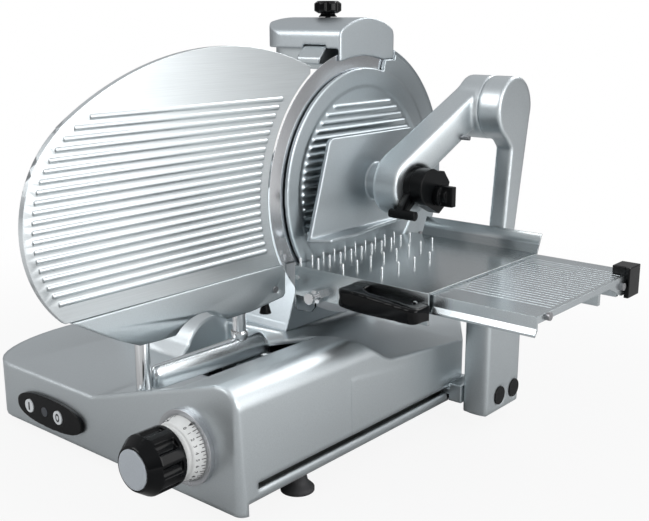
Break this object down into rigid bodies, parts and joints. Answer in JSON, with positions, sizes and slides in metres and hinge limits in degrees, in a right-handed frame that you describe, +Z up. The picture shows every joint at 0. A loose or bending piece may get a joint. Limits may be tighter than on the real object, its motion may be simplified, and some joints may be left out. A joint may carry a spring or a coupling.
{
  "type": "vertical meat slicer",
  "caption": "Vertical meat slicer with a round blade, ribbed gauge plate, thickness dial, sliding carriage with spiked table, pull out tray, swing down meat press and top sharpener.",
  "frame": {"origin": "bottom centre of the whole object, on the plane the feet stand on", "axes": "+X from the blade to the product side, +Y away from the operator along the blade, +Z up"},
  "size_m": [0.6866, 0.697, 0.528],
  "materials": {
    "cast": "satin anodised casting",
    "gauge_metal": "brushed and anodised",
    "sheet_steel": "brushed",
    "bright_steel": "polished",
    "blade_steel": "ground, turned grain",
    "dark_screws": "oiled",
    "pulley_metal": "turned",
    "belt_rubber": "matt",
    "black_plastic": "semi gloss, moulded",
    "white_plastic": "moulded",
    "grey_plastic": "moulded",
    "lamp_lens": "smoked lens",
    "clear_plastic": "clear sheet",
    "stone": "bonded grinding stone"
  },
  "bodies": {
    "housing": {"base_housing": "cast", "base_plate": "sheet_steel", "feet": "belt_rubber", "foot_studs": "bright_steel", "blade_housing": "cast", "blade_bearings": "bright_steel", "drive_motor": "cast", "drive_belt": "belt_rubber", "guide_rods": "bright_steel", "gauge_rod": "bright_steel", "switch_panel": "black_plastic", "pilot_lamp": "lamp_lens", "dial_bezel": "bright_steel", "blade_cover": "gauge_metal", "cover_screws": "dark_screws", "sharpener_base": "cast", "cable_gland": "black_plastic"},
    "blade_group": {"blade": "blade_steel", "blade_shaft": "bright_steel", "blade_screws": "dark_screws", "blade_pulley": "pulley_metal"},
    "motor_drive": {"motor_pulley": "pulley_metal"},
    "gauge": {"gauge_plate": "gauge_metal", "gauge_beam": "cast", "gauge_legs": "bright_steel", "gauge_arm": "cast", "gauge_screws": "dark_screws"},
    "gauge_lock": {"gauge_lock_knob": "black_plastic"},
    "thickness_dial": {"thickness_knob": "black_plastic", "knob_cap": "grey_plastic", "dial_ring": "white_plastic", "thickness_shaft": "bright_steel"},
    "start_button": {"start_button": "white_plastic"},
    "stop_button": {"stop_button": "white_plastic"},
    "carriage": {"carriage_slide": "cast", "carriage_post": "cast", "post_plugs": "black_plastic", "product_table": "sheet_steel", "grip_pins": "bright_steel", "table_rivets": "bright_steel", "table_handle": "black_plastic", "latch_nut": "bright_steel", "hand_guard": "clear_plastic", "feed_bracket": "cast", "feed_rod": "bright_steel"},
    "latch": {"latch_pin": "bright_steel"},
    "tray": {"tray_extension": "sheet_steel", "tray_end_cap": "black_plastic", "tray_screws": "dark_screws"},
    "upright": {"press_upright": "cast", "pivot_shaft": "bright_steel"},
    "arm": {"press_arm": "cast", "arm_stop_screw": "dark_screws", "clamp_body": "black_plastic"},
    "plate": {"press_plate": "sheet_steel"},
    "lever": {"clamp_lever": "black_plastic"},
    "wing": {"wing_screw": "black_plastic"},
    "sharpener": {"sharpener_cover": "cast", "sharpener_stones": "stone"},
    "sharpener_turn": {"sharpener_knob": "black_plastic"}
  },
  "joints": [
    {"name": "blade_spin", "type": "hinge", "parent": "housing", "child": "blade_group", "pos_m": [-0.00225, 0.1645, 0.293], "axis": [1, 0, 0], "continuous": true},
    {"name": "motor_spin", "type": "hinge", "parent": "housing", "child": "motor_drive", "pos_m": [-0.09225, 0.0545, 0.065], "axis": [1, 0, 0], "continuous": true},
    {"name": "gauge_slide", "type": "slide", "parent": "housing", "child": "gauge", "axis": [-1, 0, 0], "range_m": [0, 0.016]},
    {"name": "gauge_lock_turn", "type": "hinge", "parent": "gauge", "child": "gauge_lock", "pos_m": [-0.02225, -0.00015, 0.163], "axis": [0, 0, 1], "continuous": true},
    {"name": "dial_turn", "type": "hinge", "parent": "housing", "child": "thickness_dial", "pos_m": [0.06775, -0.2355, 0.068], "axis": [0, -1, 0], "range_deg": [0, 330]},
    {"name": "start_press", "type": "slide", "parent": "housing", "child": "start_button", "axis": [0, 1, 0], "range_m": [0, 0.0025], "stiffness_N_per_m": 600},
    {"name": "stop_press", "type": "slide", "parent": "housing", "child": "stop_button", "axis": [0, 1, 0], "range_m": [0, 0.0025], "stiffness_N_per_m": 600},
    {"name": "carriage_slide_y", "type": "slide", "parent": "housing", "child": "carriage", "axis": [0, -1, 0], "range_m": [0, 0.29]},
    {"name": "latch_pull", "type": "slide", "parent": "carriage", "child": "latch", "axis": [0, -1, 0], "range_m": [0, 0.006], "stiffness_N_per_m": 700},
    {"name": "tray_pull", "type": "slide", "parent": "carriage", "child": "tray", "axis": [-1, 0, 0], "range_m": [0, 0.105]},
    {"name": "press_feed", "type": "slide", "parent": "carriage", "child": "upright", "axis": [1, 0, 0], "range_m": [-0.003, 0.045]},
    {"name": "arm_swing", "type": "hinge", "parent": "upright", "child": "arm", "pos_m": [0.11475, 0.3045, 0.39], "axis": [-1, 0, 0], "range_deg": [0, 100]},
    {"name": "plate_slide", "type": "slide", "parent": "arm", "child": "plate", "axis": [-1, 0, 0], "range_m": [0, 0.009]},
    {"name": "clamp_turn", "type": "hinge", "parent": "arm", "child": "lever", "pos_m": [0.08175, 0.1685, 0.298], "axis": [1, 0, 0], "range_deg": [0, 60]},
    {"name": "wing_turn", "type": "hinge", "parent": "arm", "child": "wing", "pos_m": [0.10975, 0.1825, 0.2868], "axis": [1, 0, 0], "continuous": true},
    {"name": "sharpener_lift", "type": "slide", "parent": "housing", "child": "sharpener", "axis": [0, 0, 1], "range_m": [0, 0.025]},
    {"name": "sharpener_knob_turn", "type": "hinge", "parent": "sharpener", "child": "sharpener_turn", "pos_m": [-0.06593, 0.17362, 0.513], "axis": [0, 0, 1], "continuous": true}
  ],
  "couplings": [
    {"joint": "motor_spin", "follows": "blade_spin", "ratio": 2},
    {"joint": "dial_turn", "follows": "gauge_slide", "rad_per_m": 359.9}
  ]
}
